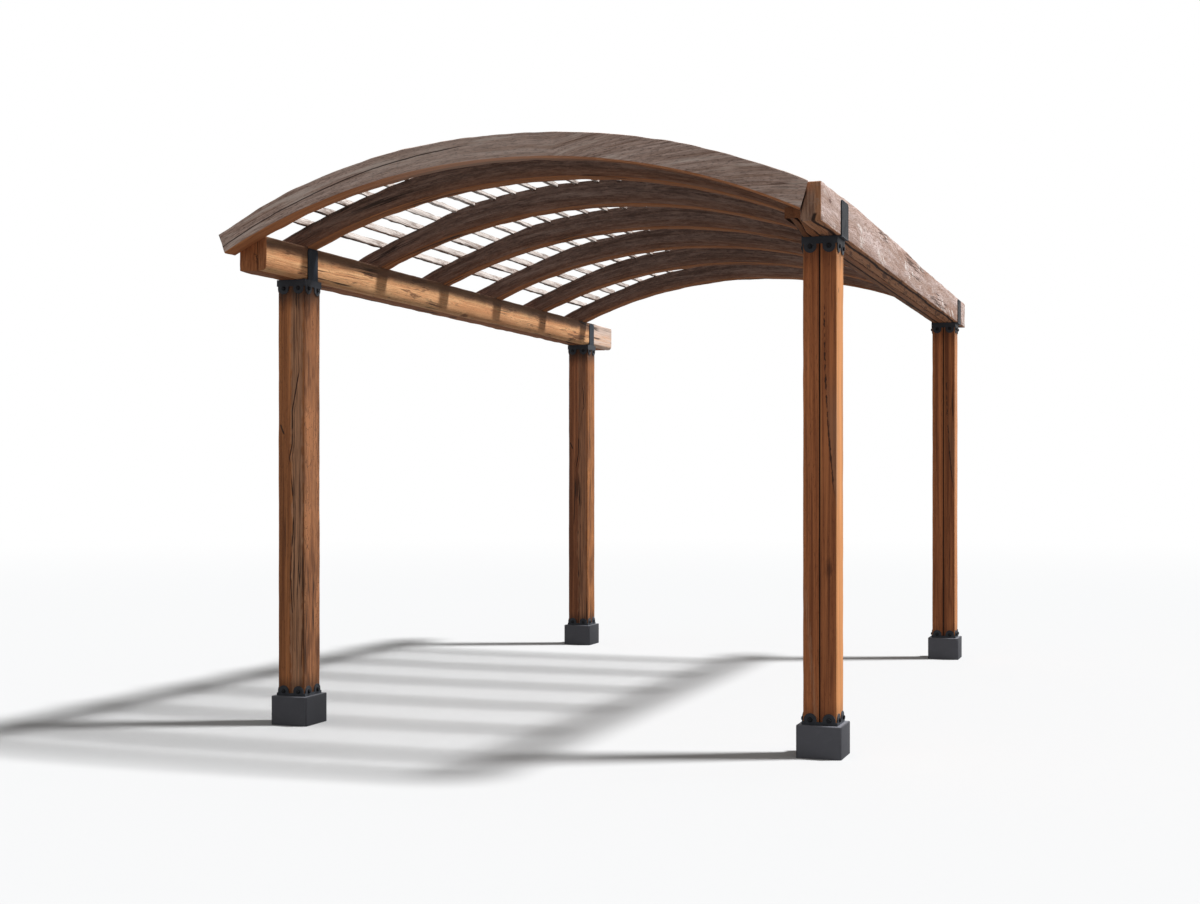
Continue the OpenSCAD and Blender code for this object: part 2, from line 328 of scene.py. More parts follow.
def old_marks(f, u, v, w, seed, middle_z, by_side, face, colour, crack, tone, side, strip):
    """An old post's greyed strip beside its crack, crazed and clouded sides, and soot near the top."""
    deep, bare = tone[2], tones(*side)[2]
    path = crack_path(f, u)
    edge = f.noise(f.vector(u * 22.0, v * 60.0, seed), 3.0) - 0.5
    left = (f.noise(f.vector(u * 1.9, seed, 0.0), 2.0) - 0.5) * 0.03
    torn = edge * 0.03
    band = (v - left + torn).rise(-0.006, 0.006) * (v - left * 0.5 + torn).rise(0.072, 0.055) * face
    mottle = f.noise(f.vector(u * 3.2, v * 95.0, w * 95.0), 4.0, 0.65).rise(0.34, 0.66)
    colour = f.mix(band * 0.85, colour, f.mix(mottle, shaded(strip, 0.8), shaded(strip, 1.12)))
    blot = f.noise(f.vector(u * 3.6, v * 75.0, seed), 4.0, 0.65).rise(0.56, 0.64)
    colour = f.mix(blot * band * 0.4, colour, deep)
    sway = (f.noise(f.vector(u * 5.0, seed, 0.0), 3.0) - 0.5) * 0.012 + edge * 0.005
    tear = abs(v - path + sway).rise(0.0046, 0.0014)
    tear = tear.larger(abs(v - path - 0.013 + sway).rise(0.0028, 0.0008) * 0.7) * face
    broken = f.noise(f.vector(u * 5.0, v * 14.0, seed), 3.0).rise(0.44, 0.54)
    crack = crack.larger(tear * broken.larger(abs(u - STROKE_Z).rise(0.09, 0.05)))
    thin = f.noise(f.vector(u * 2.2 - seed, v * 120.0, w * 120.0), 3.0, 0.6)
    colour = f.mix(by_side * abs(thin - 0.5).rise(0.05, 0.01) * 0.6, colour, bare)
    cloud = f.noise(f.vector(u * 3.4, v * 8.0, w * 12.0 + seed), 3.0, 0.6)
    colour = f.mix(by_side * cloud.rise(0.5, 0.68) * 0.5, colour, shaded(side, 1.16))
    colour = f.mix(by_side * cloud.rise(0.48, 0.34) * 0.5, colour, bare)
    craze = f.noise(f.vector(u * 16.0, v * 60.0, w * 60.0 - seed), 2.0, 0.5)
    craze = abs(craze - 0.5).rise(0.02, 0.006) * cloud.rise(0.5, 0.6) * by_side
    crack = crack.larger(craze * 0.8)
    top = u.rise(middle_z + 0.8, middle_z + 1.04)
    soot = f.noise(f.vector(u * 7.0, v * 24.0, w * 24.0), 4.0, 0.65) * 0.5 + top * 0.42
    colour = f.mix(soot.rise(0.58, 0.74) * 0.75, colour, deep)
    chip = abs(v - CHIP_X + (u - CHIP_Z) * 0.4).rise(0.006, 0.003) * abs(u - CHIP_Z).rise(0.028, 0.018) * face
    return colour, crack.larger(chip)


def new_marks(f, u, v, w, seed, by_side, face, colour, crack, tone, side, strip, line, knotty):
    """A newer post's groove with a painted highlight beside it, darker right half and broken split; a knotty
    one's knot, wear and spot.
    """
    pale, deep = tones(*side)[0], tone[2]
    fall = SPLIT_TOP - u
    path = 0.022 - fall * 0.019 + fall * fall * 0.0737
    chip = f.noise(f.vector(u * 36.0, v * 90.0, seed), 3.0) - 0.5
    dotted = f.noise(f.vector(u * 30.0, v * 60.0, seed), 3.0).rise(0.44, 0.52).larger(u.rise(1.6, 1.4))
    split = abs(v - path + chip * 0.014).rise(0.0046, 0.0014) * face * u.rise(2.0, 1.96)
    split = split * dotted * u.rise(1.12, 1.24)
    beside = (v - path + chip * 0.01).rise(0.0, 0.005) * face * u.rise(1.75, 1.45) * u.rise(0.98, 1.14)
    colour = f.mix(beside * (0.3 + line * 0.35), colour, srgb(*strip))
    colour = f.mix(v.rise(0.0, 0.008) * face * 0.25, colour, deep)
    # Painted highlight: a pale line along the groove's right edge.
    groove_highlight = abs(v - 0.0052 + chip * 0.002).rise(0.0022, 0.0008) * face * u.rise(1.0, 1.3)
    colour = f.mix(groove_highlight * 0.35, colour, pale)
    if knotty:
        ragged = 1.0 + chip * 1.5 + (line - 0.5) * 0.5
        across, up = v - KNOT_X, u - KNOT_Z
        eye = (across * across * 2600.0 + up * up * 420.0).root() * ragged
        colour = f.mix(eye.rise(1.2, 0.0) * face * 0.85, colour, deep)
        tail = abs(across + chip * 0.008).rise(0.005, 0.001)
        tail = tail * u.rise(KNOT_Z - 0.24, KNOT_Z - 0.06) * u.rise(KNOT_Z, KNOT_Z - 0.03)
        colour = f.mix(tail * face * 0.6, colour, deep)
        worn = abs(v - WORN_X - (WORN_Z - u) * 0.079 + chip * 0.02).rise(0.013, 0.001) * u.rise(0.76, 0.7)
        colour = f.mix(worn * face * line * 0.45, colour, srgb(226, 180, 146))
        back, up = w - SPOT_Y, u - SPOT_Z
        spot = (back * back * 14000.0 + up * up * 6000.0).root() * ragged
        colour = f.mix(spot.rise(1.0, 0.4) * by_side * 0.75, colour, tones(*side)[2])
    return colour, crack.larger(split).larger(abs(v).rise(0.0044, 0.0028) * face)


def post_timber(name, low, high, front, side, strip, seed, old, knotty):
    """Oiled post: warm streaked front, paler or darker sides whose tones paint light and shade, drying
    cracks, dirt at the foot and dirt with painted shade under the cap.
    """
    made, f = new_material(name)
    centre = (low + high) / 2
    u, v, w = grain_up(f, centre)
    tone = tones(*front)
    heart = (0.015 + 0.02 * math.sin(seed), 0.03)
    colour, height, parts = wood(f, u, v, w, tone, heart=heart, knots=0.5, lines=0.32, specks=0.35)
    broad = f.noise(f.vector(u * 0.5 + seed, v * 26.0, w * 26.0), 3.0, 0.6)
    colour = f.mix(broad.rise(0.5, 0.62) * 0.85, colour, tones(*[c * 0.82 for c in front])[1])
    colour = f.mix(broad.rise(0.48, 0.37) * 0.85, colour, tones(*[min(255, c * 1.1) for c in front])[0])
    by_side = abs(v).rise(*POST_SIDE)
    face = abs(w).rise(*POST_FACE)
    pale, dark, _ = tones(*side)
    # Painted light and shade: the sides take their own tones, paler than the front on the right posts and a
    # little darker on the front left one.
    lit = f.mix(parts["streak"] * 0.6 + parts["line"] * 0.4, dark, pale)
    lit = f.mix(broad.rise(0.52, 0.66) * 0.35, lit, shaded(side, 0.8))
    lit = f.mix(broad.rise(0.47, 0.36) * 0.4, lit, shaded(side, 1.12))
    colour = f.mix(by_side * 0.85, colour, lit)
    crack = checks(f, u, v, w, seed, width=0.032, share=0.56 if old else 0.64)
    if old:
        colour, crack = old_marks(f, u, v, w, seed, centre.z, by_side, face, colour, crack, tone, side, strip)
    else:
        colour, crack = new_marks(
            f, u, v, w, seed, by_side, face, colour, crack, tone, side, strip, parts["line"], knotty
        )
    drip = f.noise(f.vector(u * 5.0, v * 60.0, w * 60.0), 3.0, 0.6) * 0.08
    # Darker at the foot as dirt; under the cap as dirt and painted shade from the cap bracket.
    grime_and_painted_shade = (u + drip).rise(high.z - 0.13, high.z - 0.02).larger((u - drip).rise(low.z + 0.06, low.z) * 0.6)
    colour = f.mix(grime_and_painted_shade * (0.8 if old else 0.35), colour, srgb(40, 26, 19))
    colour = f.mix(crack * 0.9, colour, srgb(38, 24, 17))
    surface(f, colour, 0.55 + parts["line"] * 0.14, height - crack * 2.2, specular=0.28)
    return made


# where the left beam's end grain starts and is full, at the front and at the rear
LEFT_FRONT_END, LEFT_REAR_END = (-2.3725, -2.3765), (2.4625, 2.4665)
REAR_STRAP = (2.05, 2.09)


def beam_timber(
    name, centre, middle, seed, crack_share=0.55, heart=(0.05, 0.12), joint=0.0, half=0.02,
    end=None, stains_and_top_shade=0.0
):
    """Straight beam or board with the grain running front to rear; dark dirt along its joints; a stained
    board also gets painted shade along the top of its face.
    """
    made, f = new_material(name)
    u, v, w = grain_back(f, centre)
    tone = tones(*middle)
    colour, height, parts = wood(f, u, v, w, tone, heart=heart, wander=0.06)
    patch = f.noise(f.vector(u * 1.7 + seed, v * 9.0, w * 9.0), 3.0, 0.6).rise(0.45, 0.7)
    colour = f.mix(patch * 0.55, colour, tone[1])
    crack = checks(f, u, v, w, seed, share=crack_share)
    if stains_and_top_shade:
        swirl = (f.noise(f.vector(u * 3.0 + seed, 0.0, w * 8.0), 2.0) - 0.5) * 0.1
        figure = f.noise(f.vector(u * 2.2, v * 20.0, (w + swirl) * 40.0), 3.0, 0.6)
        colour = f.mix(abs(figure - 0.5).rise(0.03, 0.006) * 0.35, colour, tone[1])
        blot = f.noise(f.vector(u * 2.8 - seed, v * 9.0, w * 22.0), 4.0, 0.68).rise(0.585, 0.66)
        colour = f.mix(blot * 0.75, colour, tone[2])
        # Painted shade: the top of the face is darkened as the roof's shadow on it.
        run = w + (f.noise(f.vector(u * 5.0, v * 9.0, seed), 4.0, 0.6) - 0.5) * 0.05
        colour = f.mix(run.rise(0.006, 0.042) * stains_and_top_shade, colour, srgb(96, 72, 58))
        grey = f.noise(f.vector(u * 3.0, v * 60.0, w * 60.0), 4.0, 0.65).rise(0.35, 0.6)
        colour = f.mix(u.rise(*REAR_STRAP) * (0.4 + grey * 0.5), colour, srgb(232, 208, 194))
        crack = crack.larger(v.rise(0.006 - half, 0.003 - half) * u.rise(*LEFT_FRONT_END))
    if end:
        pale, dark, _ = tones(*end)
        grain = f.noise(f.vector(v * 150.0, w * 12.0, seed), 3.0, 0.6).rise(0.3, 0.7)
        at_end = u.rise(*LEFT_FRONT_END).larger(u.rise(*LEFT_REAR_END))
        colour = f.mix(at_end, colour, f.mix(grain, dark, pale))
    if joint:
        rough = (f.noise(f.vector(u * 14.0 + seed, 0.0, w * 20.0), 3.0) - 0.5) * 0.008
        dirt = (abs(v) + rough).rise(half - joint, half - joint * 0.5) * u.rise(-2.375, -2.35)
        crack = crack.larger(dirt)
    colour = f.mix(crack * 0.85, colour, srgb(38, 25, 18))
    surface(f, colour, 0.6 + parts["line"] * 0.16, height - crack * 2.0, specular=0.25)
    return made


# a knot on the right outer board: distance behind its front end and height over its middle
BOARD_KNOT_Y, BOARD_KNOT_Z = 0.18, 0.028


def weathered_board(name, low, high, seed):
    """Greyed outer board of the right beam: curling grain, stains, scuffs, bare wood at ends and below."""
    made, f = new_material(name)
    u, v, w = grain_back(f, (low + high) / 2)
    half, half_high = (high.x - low.x) / 2, 0.082
    tone = tones(212, 188, 177)
    swirl = (f.noise(f.vector(u * 2.4 + seed, v * 3.0, w * 6.0), 2.0) - 0.5) * 0.12
    colour, height, parts = wood(
        f, u, v, w + swirl, tone, heart=(0.16, 0.02), ring=0.008, knots=0.8, wander=0.09
    )
    curl = f.noise(f.vector(u * 7.0, v * 40.0, (w + swirl) * 85.0), 4.0, 0.6)
    colour = f.mix(abs(curl - 0.5).rise(0.030, 0.008) * 0.68, colour, srgb(142, 104, 87))
    along, up = (u - low.y - BOARD_KNOT_Y) * 0.3, w - BOARD_KNOT_Z
    colour = f.mix((along * along + up * up).rise(0.00012, 0.00003) * 0.8, colour, srgb(92, 60, 48))
    stain = f.noise(f.vector(u * 1.8 + seed, v * 5.0, w * 10.0), 4.0, 0.6).rise(0.44, 0.66)
    stain = stain * (0.4 + u.rise(-1.6, 1.2) * 0.6)
    colour = f.mix(stain * 0.82, colour, srgb(156, 120, 102))
    scuff = f.noise(f.vector(u * 9.0 + seed, v * 30.0, w * 26.0 + u * 12.0), 4.0, 0.7).rise(0.565, 0.605)
    where = f.noise(f.vector(u * 1.5 - seed, v * 4.0, w * 8.0), 2.0).rise(0.52, 0.58)
    colour = f.mix(scuff * where * 0.7, colour, srgb(246, 238, 232))
    crack = checks(f, u, v, w, seed, width=0.03, share=0.56)
    colour = f.mix(crack * 0.75, colour, srgb(70, 48, 38))
    # bare wood of the two ends and the underside
    front_end = u.rise(low.y + 0.004, low.y + 0.0007)
    end = front_end.larger(u.rise(high.y - 0.004, high.y - 0.0007))
    below = w.rise(-0.077, -0.0805)
    pale, dark, deep = tones(196, 136, 94)
    grain = f.noise(f.vector(v * 120.0 + u * 3.0, w * 9.0, seed), 3.0, 0.65).rise(0.3, 0.7)
    rub = f.noise(f.vector(v * 34.0, w * 34.0, seed), 3.0, 0.6).rise(0.5, 0.66) * end * w.rise(-0.05, 0.0)
    bare = f.mix(rub * 0.5, f.mix(grain, dark, pale), srgb(190, 160, 140))
    greyed = end * (v + rub * 0.01).rise(half - 0.020, half - 0.032) * w.rise(0.075, 0.02)
    bare = f.mix(greyed * 0.65, bare, f.mix(grain, srgb(108, 84, 71), srgb(176, 148, 131)))
    streak = f.noise(f.vector(u * 5.0, v * 60.0 + u * 8.0, seed), 3.0, 0.65).rise(0.5, 0.62)
    bare = f.mix(below * streak * 0.75, bare, deep)
    colour = f.mix(end.larger(below) * 0.9, colour, bare)
    # dark gaps: the hooked seam, the joint to the low boards and the front arch's leaning end
    ragged = (f.noise(f.vector(u * 9.0, w * 14.0, seed), 3.0, 0.6) - 0.5) * 0.014
    drift = (f.noise(f.vector(u * 1.5, seed, 0.0), 2.0) - 0.5) * 0.04
    seam = v - half + 0.026 + drift + u.rise(-2.2, -2.44) * 0.012
    seam = abs(seam - (w + half_high) * 0.25 + ragged).rise(0.012, 0.004)
    seam = seam * w.rise(-0.045, -0.055) * end.larger(below)
    joint = (v + ragged * 0.5).rise(0.010 - half, 0.004 - half) * w.rise(-0.07, -0.0805) * u.rise(-1.6, -2.1)
    lean = v + 0.0131 - (w - 0.0794) * math.tan(END_LEAN) + ragged * 0.6
    gap = seam.larger(joint).larger(lean.rise(0.014, 0.006) * front_end * w.rise(0.06, 0.03))
    colour = f.mix(gap * 0.92, colour, srgb(30, 20, 15))
    relief = height + scuff * 0.4 - crack.larger(gap) * 2.0
    surface(f, colour, 0.7 + parts["line"] * 0.14, relief, specular=0.22)
    return made


def arch_timber(name, middle_y, outer_r, face, under, seed, front):
    """Arch: greyed speckled faces, warmer underside, grain that follows the curve; painted shade on the front
    arch's top edge, painted light on the other arches' lower faces.
    """
    made, f = new_material(name)
    middle_r = (ARCH_IN + outer_r) / 2
    half = (outer_r - ARCH_IN) / 2
    u, v, w = grain_round(f, middle_y, middle_r)
    tone = tones(*face)
    slant = v - (u - 0.25).larger(0.0) * 0.35 if front else v
    colour, height, parts = wood(
        f, u + seed * 3.0, slant, w, tone, heart=(0.09, 0.16), ring=0.007, knots=0.3, wander=0.05, specks=0.55
    )
    dash = f.noise(f.vector(u * 15.0 + seed, slant * 110.0, w * 110.0), 4.0, 0.65).rise(0.38, 0.62)
    colour = f.mix(dash.rise(1.0, 0.0) * (0.2 if front else 0.42), colour, tone[2])
    fleck = f.noise(f.vector(u * 46.0 - seed, slant * 240.0, w * 240.0), 3.0, 0.6).rise(0.54, 0.64)
    colour = f.mix(fleck * 0.4, colour, tone[2])
    grey = f.noise(f.vector(u * 2.6 + seed, slant * 36.0, w * 36.0), 4.0, 0.65)
    colour = f.mix(grey.rise(0.48, 0.36) * (0.2 if front else 0.4), colour, tone[2])
    colour = f.mix(grey.rise(0.52, 0.66) * 0.6, colour, shaded(face, 1.12, 1.16, 1.2))
    low = v.rise(-half + 0.007, -half + 0.002)
    pale, dark, _ = tones(*under)
    warm = f.mix(parts["streak"] * 0.6 + parts["line"] * 0.4, dark, pale)
    crack = checks(f, u + seed, slant, w, seed, width=0.03, share=0.72 if front else 0.58)
    if front:
        warm = f.mix(w.rise(-0.012, 0.012) * u.rise(-1.1, -0.3) * 0.75, warm, shaded(under, 0.6))
        colour = f.mix(low, colour, warm)
        colour = f.mix(abs(u + 0.15).rise(0.75, 0.1) * 0.2, colour, srgb(255, 236, 224))
        # Painted shade: the top edge is toned down against the sun on it.
        colour = f.mix(v.rise(half - 0.006, half - 0.001) * 0.8, colour, srgb(164, 143, 132))
        wave = f.noise(f.vector(u * 2.2, 0.0, 4.0), 4.0, 0.65) - 0.5
        path = v + 0.026 - (u + 1.45) * 0.034 - wave * 0.022
        split = abs(path).rise(0.0036, 0.0014) * u.rise(-0.1, -0.3) * w.rise(0.03, -0.03)
        crack = crack.larger(split)
    else:
        # Painted light: the lower part of the face is warmed towards the underside's colour, brighter than
        # the top that lies in the slats' shade.
        low = low.larger(v.rise(0.012, -half) * (0.1 + parts["slow"] * 0.36))
        colour = f.mix(low, colour, warm)
    colour = f.mix(crack * 0.85, colour, srgb(46, 33, 27))
    surface(f, colour, 0.74 + parts["line"] * 0.12, height + dash * 0.5 - crack * 2.4, specular=0.2)
    return made


def slat_timber(name):
    """Rough pale lath: brown streaks, painted shade where it crosses the arches, and a darker top and
    underside that are painted shade too.
    """
    made, f = new_material(name)
    across, up, y = grain_round(f, 0.0, SLAT_IN)
    streak = f.noise(f.vector(y * 3.2, across * 30.0, up * 150.0 + y * 9.0), 4.0, 0.7).rise(0.42, 0.66)
    patch = f.noise(f.vector(y * 2.2, across * 14.0, up * 20.0), 3.0).rise(0.4, 0.64)
    line = f.noise(f.vector(y * 9.0, across * 260.0, up * 260.0), 3.0).rise(0.3, 0.7)
    colour = f.mix(streak * (0.3 + patch * 0.7), srgb(226, 217, 211), srgb(134, 114, 103))
    colour = f.mix(line.rise(0.5, 0.0) * 0.25, colour, srgb(104, 88, 80))
    crossing = y * 0.0 + 1.0
    for node in ARCHES[1:]:
        crossing = crossing.smaller(abs(y - middle_of(node).y))
    # Painted shade where the lath crosses an arch.
    crossing_shade = f.noise(f.vector(y * 14.0, across * 40.0, up * 60.0), 4.0, 0.65).rise(0.46, 0.6)
    colour = f.mix(crossing_shade * crossing.rise(0.2, 0.05) * 0.65, colour, srgb(112, 90, 79))
    ragged = up - f.noise(f.vector(y * 12.0, across * 60.0, 0.0), 3.0) * 0.012
    # Painted shade: the top of the lath is toned down against the sun on it.
    colour = f.mix(up.rise(0.030, 0.035) * 0.7, colour, srgb(166, 156, 149))
    # Painted shade: the underside is made dark, with patches.
    below = ragged.rise(0.002, -0.004)
    colour = f.mix(below * 0.9, colour, f.mix(patch, srgb(70, 50, 41), srgb(118, 92, 78)))
    surface(f, colour, 0.78 + line * 0.1, streak * 0.5 + line * 0.6, specular=0.2)
    return made


# ------------ steel finishes


def coated_steel(name, colour, worn, roughness, grain, centre=None, side=None, seat=None, strap_shade_tint=None):
    """Powder-coated steel, dusty in patches; a base's sides and a strap above a seat get darker tints that
    paint shade on them.
    """
    made, f = new_material(name)
    x, y, z = f.place()
    peel = f.noise(f.vector(x * grain, y * grain, z * grain), 2.0)
    dust = f.noise(f.vector(x * 14.0, y * 14.0, z * 22.0), 4.0, 0.6).rise(0.45, 0.75)
    tint = f.mix(dust * 0.35, colour, worn)
    if centre:
        # Painted shade: the base's sides are darkened against the sun on them, most on the left bases.
        tint = f.mix(abs(x - centre.x).rise(*BASE_SHADED_SIDE) * 0.7, tint, srgb(side, side, side + 3))
    if seat:
        # Painted shade: the strap above the seat takes a darker tint, darkest on the sunlit right posts.
        tint = f.mix(z.rise(seat - 0.004, seat + 0.004) * 0.92, tint, srgb(*strap_shade_tint))
    surface(f, tint, roughness + dust * 0.16 + peel * 0.06, peel, specular=0.16, relief=0.0005, strength=0.35)
    return made


# ------------ modelling


def leave():
    """Leaves edit mode."""
    bpy.ops.object.mode_set(mode="OBJECT")


def let_go():
    """Leaves edit mode and deselects every object."""
    if bpy.context.object and bpy.context.object.mode != "OBJECT":
        leave()
    bpy.ops.object.select_all(action="DESELECT")


def hold(piece):
    let_go()
    piece.select_set(True)
    bpy.context.view_layer.objects.active = piece


def billet(name, low, high):
    """Squared block between two corners."""
    let_go()
    low, high = Vector(low), Vector(high)
    bpy.ops.mesh.primitive_cube_add(size=1, location=(low + high) / 2, scale=high - low)
    bpy.ops.object.transform_apply()
    piece = bpy.context.object
    piece.name = piece.data.name = name
    return piece


def pick(piece, kind, test):
    """Selects the faces, edges or points that pass the test, and stays in edit mode."""
    hold(piece)
    bpy.ops.object.mode_set(mode="EDIT")
    bpy.ops.mesh.select_mode(type=kind)
    bpy.ops.mesh.select_all(action="DESELECT")
    leave()
    mesh = piece.data
    if kind == "FACE":
        for face in mesh.polygons:
            face.select = test(face.center, face.normal)
    elif kind == "EDGE":
        for edge in mesh.edges:
            edge.select = test(*[mesh.vertices[i].co for i in edge.vertices])
    else:
        for point in mesh.vertices:
            point.select = test(point.co)
    bpy.ops.object.mode_set(mode="EDIT")


def shift(piece, test, by):
    """Moves the points that pass the test."""
    pick(piece, "VERT", test)
    bpy.ops.transform.translate(value=by)
    leave()


def pick_all(piece):
    hold(piece)
    bpy.ops.object.mode_set(mode="EDIT")
    bpy.ops.mesh.select_all(action="SELECT")


def ease(piece, offset, segments=2, test=lambda a, b: True):
    """Rounds the edges that pass the test."""
    pick(piece, "EDGE", test)
    bpy.ops.mesh.bevel(offset=offset, segments=segments, affect="EDGES")
    leave()


def runs_along(axis, least=0.02):
    """Test for edges that run along an axis and are longer than least."""

    def test(a, b):
        run = b - a
        return run.length > least and abs(run[axis]) > 0.99 * run.length

    return test


def cut_along(piece, axis, count, least=0.02):
    """Cuts the edges that run along an axis into count + 1 lengths."""
    pick(piece, "EDGE", runs_along(axis, least))
    bpy.ops.mesh.subdivide(number_cuts=count)
    leave()


def saw(piece, point, normal, keep_far=False):
    """Cuts the piece by a plane: parts it only, or takes off the side the normal points to."""
    pick_all(piece)
    bpy.ops.mesh.bisect(plane_co=point, plane_no=normal, use_fill=not keep_far, clear_outer=not keep_far)
    leave()


def apply_all(piece):
    hold(piece)
    for modifier in list(piece.modifiers):
        bpy.ops.object.modifier_apply(modifier=modifier.name)


def notch(piece, low, high):
    """Takes a squared notch out of the piece."""
    cutter = billet("notch", low, high)
    modifier = piece.modifiers.new("notch", "BOOLEAN")
    modifier.operation, modifier.solver, modifier.object = "DIFFERENCE", "EXACT", cutter
    apply_all(piece)
    bpy.data.objects.remove(cutter)


def mark_arrises(piece):
    """Keeps the points on the piece's sharp edges as a group named arris."""
    pick(piece, "EDGE", lambda a, b: False)
    bpy.ops.mesh.edges_select_sharp(sharpness=ARRIS_ANGLE)
    bpy.ops.object.vertex_group_add()
    bpy.ops.object.vertex_group_assign()
    leave()
    piece.vertex_groups.active.name = "arris"


def waver(piece, amount, size, group=""):
    """Makes sawn faces uneven by a soft cloud pattern."""
    pattern = bpy.data.textures.new(f"{piece.name}_waver", "CLOUDS")
    pattern.noise_scale, pattern.noise_depth = size, 1
    modifier = piece.modifiers.new("waver", "DISPLACE")
    modifier.texture, modifier.texture_coords = pattern, "LOCAL"
    modifier.strength, modifier.mid_level, modifier.vertex_group = amount, 0.5, group
    apply_all(piece)


def raise_top(piece, on_top, axis, first, last, fade, rise):
    """Lifts or lowers a piece's top edge between two places along an axis, fading out beyond them."""
    pick(piece, "VERT", lambda p: not on_top(p))
    bpy.ops.mesh.hide()
    leave()
    for point in piece.data.vertices:
        point.select = not point.hide and first < point.co[axis] < last
    bpy.ops.object.mode_set(mode="EDIT")
    bpy.ops.transform.translate(
        value=(0, 0, rise),
        use_proportional_edit=True,
        proportional_edit_falloff="SMOOTH",
        proportional_size=fade,
        use_proportional_connected=False,
    )
    bpy.ops.mesh.reveal(select=False)
    leave()


def copy_of(shape):
    """Copy of a shape with its own mesh."""
    copy = shape.copy()
    copy.data = shape.data.copy()
    scene.collection.objects.link(copy)
    return copy


def joined(pieces, name):
    """One piece made of several."""
    let_go()
    for piece in pieces:
        piece.select_set(True)
    bpy.context.view_layer.objects.active = pieces[0]
    if len(pieces) > 1:
        bpy.ops.object.join()
    piece = bpy.context.object
    piece.name = piece.data.name = name
    return piece


def done(piece, material, slot, *nodes):
    """Smooths the shading, gives the finish and sets the piece in the frame."""
    hold(piece)
    bpy.ops.object.shade_smooth_by_angle(angle=SMOOTH_ANGLE)
    piece.vertex_groups.clear()
    piece.data.materials.clear()
    piece.data.materials.append(material)
    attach(piece, "root")
    if nodes:
        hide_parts(*nodes)


# ------------ posts and bases


def make_post(corner, material, old):
    """Square post with a groove down its front and rear; an old post's wanders as a crack."""
    low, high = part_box(f"post_{corner}")
    middle = (low + high) / 2
    groove, depth = (CRACK_HALF, CRACK_DEPTH) if old else (GROOVE_HALF, GROOVE_DEPTH)
    foot, top = low.z + GROOVE_STOP, high.z - GROOVE_STOP
    piece = billet(f"timber_post_{corner}", low, high)
    ease(piece, POST_EASE)
    cut_along(piece, 2, POST_CUTS)
    for x in (middle.x - groove, middle.x + groove):
        saw(piece, (x, 0, 0), (1, 0, 0), keep_far=True)
    for z in (foot, top):
        saw(piece, (0, 0, z), (0, 0, 1), keep_far=True)
    for way in (-1, 1):
        pick(
            piece,
            "FACE",
            lambda c, n: n.y * way > 0.9 and abs(c.x - middle.x) < groove - NEAR and foot < c.z < top,
        )
        bpy.ops.mesh.extrude_region_move(TRANSFORM_OT_translate={"value": (0, -way * depth, 0)})
        leave()
    if old:
        for level in sorted({round(p.co.z, 5) for p in piece.data.vertices}):
            shift(
                piece,
                lambda p: abs(p.z - level) < NEAR and abs(p.x - middle.x) < groove + 5 * NEAR,
                (crack_at(level), 0, 0),
            )
    cut_along(piece, 0, 3)
    cut_along(piece, 1, 6, least=0.1)
    mark_arrises(piece)
    waver(piece, amount=0.0022, size=0.32)
    waver(piece, amount=0.0025, size=0.12, group="arris")
    done(piece, material, "post_timber", f"post_{corner}")


def make_base(corner, material):
    """Base box with rounded corners and eased rims."""
    low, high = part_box(f"base_{corner}")
    piece = billet(f"steel_base_{corner}", low, high)
    ease(piece, BASE_CORNER, 4, runs_along(2))
    ease(piece, BASE_RIM, 3, lambda a, b: min(a.z, b.z) > high.z - TIGHT)
    ease(piece, BASE_FOOT, 1, lambda a, b: max(a.z, b.z) < low.z + TIGHT)
    done(piece, material, "base_coating", f"base_{corner}")


# ------------ beams


def make_board(name, node, material, slot, radius, segments, dent, belly=0.0, hump=None):
    """Straight timber with eased, worn long edges; belly rounds its lower inner edge, hump lifts its top."""
    low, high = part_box(node)
    piece = billet(name, low, high)
    lengthwise = runs_along(1)
    if belly:
        ease(piece, belly, 6, lambda a, b: lengthwise(a, b) and a.z < low.z + NEAR and a.x > high.x - NEAR)
    ease(
        piece,
        radius,
        segments,
        lambda a, b: lengthwise(a, b) and (a.z > high.z - NEAR or abs(a.x - low.x) < NEAR or not belly),
    )
    ease(piece, BOARD_END, 1, lambda a, b: max(a.y, b.y) < low.y + TIGHT or min(a.y, b.y) > high.y - TIGHT)
    cut_along(piece, 1, 150, least=1.0)
    cut_along(piece, 2, 4)
    cut_along(piece, 0, 2)
    if hump:
        raise_top(piece, lambda p: p.z > high.z - radius - 10 * NEAR, 1, *hump)
    mark_arrises(piece)
    waver(piece, amount=0.003, size=0.5)
    waver(piece, amount=dent, size=0.11, group="arris")
    done(piece, material, slot, node)


def make_low_board(name, node, material, sweep, rise):
    """Low board of the right beam, its underside swept up to both ends."""
    low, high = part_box(node)
    piece = billet(name, low, high)
    ease(piece, LOW_BOARD_EDGE, 3, runs_along(1))
    cut_along(piece, 1, 160, least=1.0)
    cut_along(piece, 2, 2)
    radius = (sweep * sweep + rise * rise) / (2 * rise)
    under = low.z + LOW_BOARD_EDGE + 10 * NEAR
    for step in sorted({round(min(p.co.y - low.y, high.y - p.co.y), 5) for p in piece.data.vertices}):
        if step < sweep:
            lift = rise - radius + math.sqrt(radius * radius - step * step)
            shift(
                piece,
                lambda p: p.z < under and abs(min(p.y - low.y, high.y - p.y) - step) < NEAR,
                (0, 0, lift),
            )
    waver(piece, amount=0.003, size=0.3)
    done(piece, material, "beam_timber", node)


# ------------ arches


def on_arc(radius, turn, y):
    return Vector((AXIS_X + radius * math.sin(turn), y, AXIS_Z + radius * math.cos(turn)))


